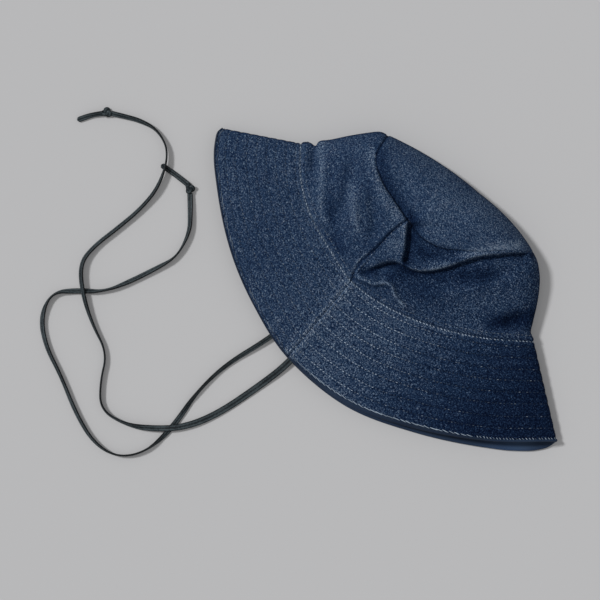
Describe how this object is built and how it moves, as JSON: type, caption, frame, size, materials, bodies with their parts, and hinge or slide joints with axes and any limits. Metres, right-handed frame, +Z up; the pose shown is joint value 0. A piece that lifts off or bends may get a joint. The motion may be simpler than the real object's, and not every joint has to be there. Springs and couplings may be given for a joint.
{
  "type": "bucket hat",
  "caption": "Denim bucket hat with a stitched flaring brim, a round crown tip and two knotted flat chin laces, lying on its side folded flat.",
  "frame": {"origin": "middle of the bounding box of the folded hat without its laces, on the surface that it lies on", "axes": "+Z up from the surface that the hat lies on, +Y from the brim's opening to the fold across the crown's tip, +X from the front fold to the back fold, along the hat's longest side"},
  "size_m": [0.4738, 0.3712, 0.0378],
  "materials": {
    "denim": "dark indigo twill, matt, with pale specks where it is worn",
    "under_brim_cloth": "smooth navy plain weave",
    "interlining": "stiff off-white interlining",
    "lining": "smooth navy plain weave",
    "grosgrain": "ribbed dark grosgrain",
    "lace": "flat charcoal lace, slight sheen"
  },
  "bodies": {
    "root": {"crown_tip": "denim", "crown_side_front": "denim", "crown_side_back": "denim", "brim_top_front": "denim", "brim_top_back": "denim", "brim_interlining_front": "interlining", "brim_interlining_back": "interlining", "brim_under_front": "under_brim_cloth", "brim_under_back": "under_brim_cloth", "lining_tip": "lining", "lining_side_front": "lining", "lining_side_back": "lining", "sweatband": "grosgrain", "strap_tab_upper": "grosgrain", "strap_tab_lower": "grosgrain", "chin_strap_upper": "lace", "chin_strap_lower": "lace", "knot_upper": "lace", "knot_lower": "lace", "strap_tail_upper": "lace", "strap_tail_lower": "lace"}
  },
  "joints": []
}
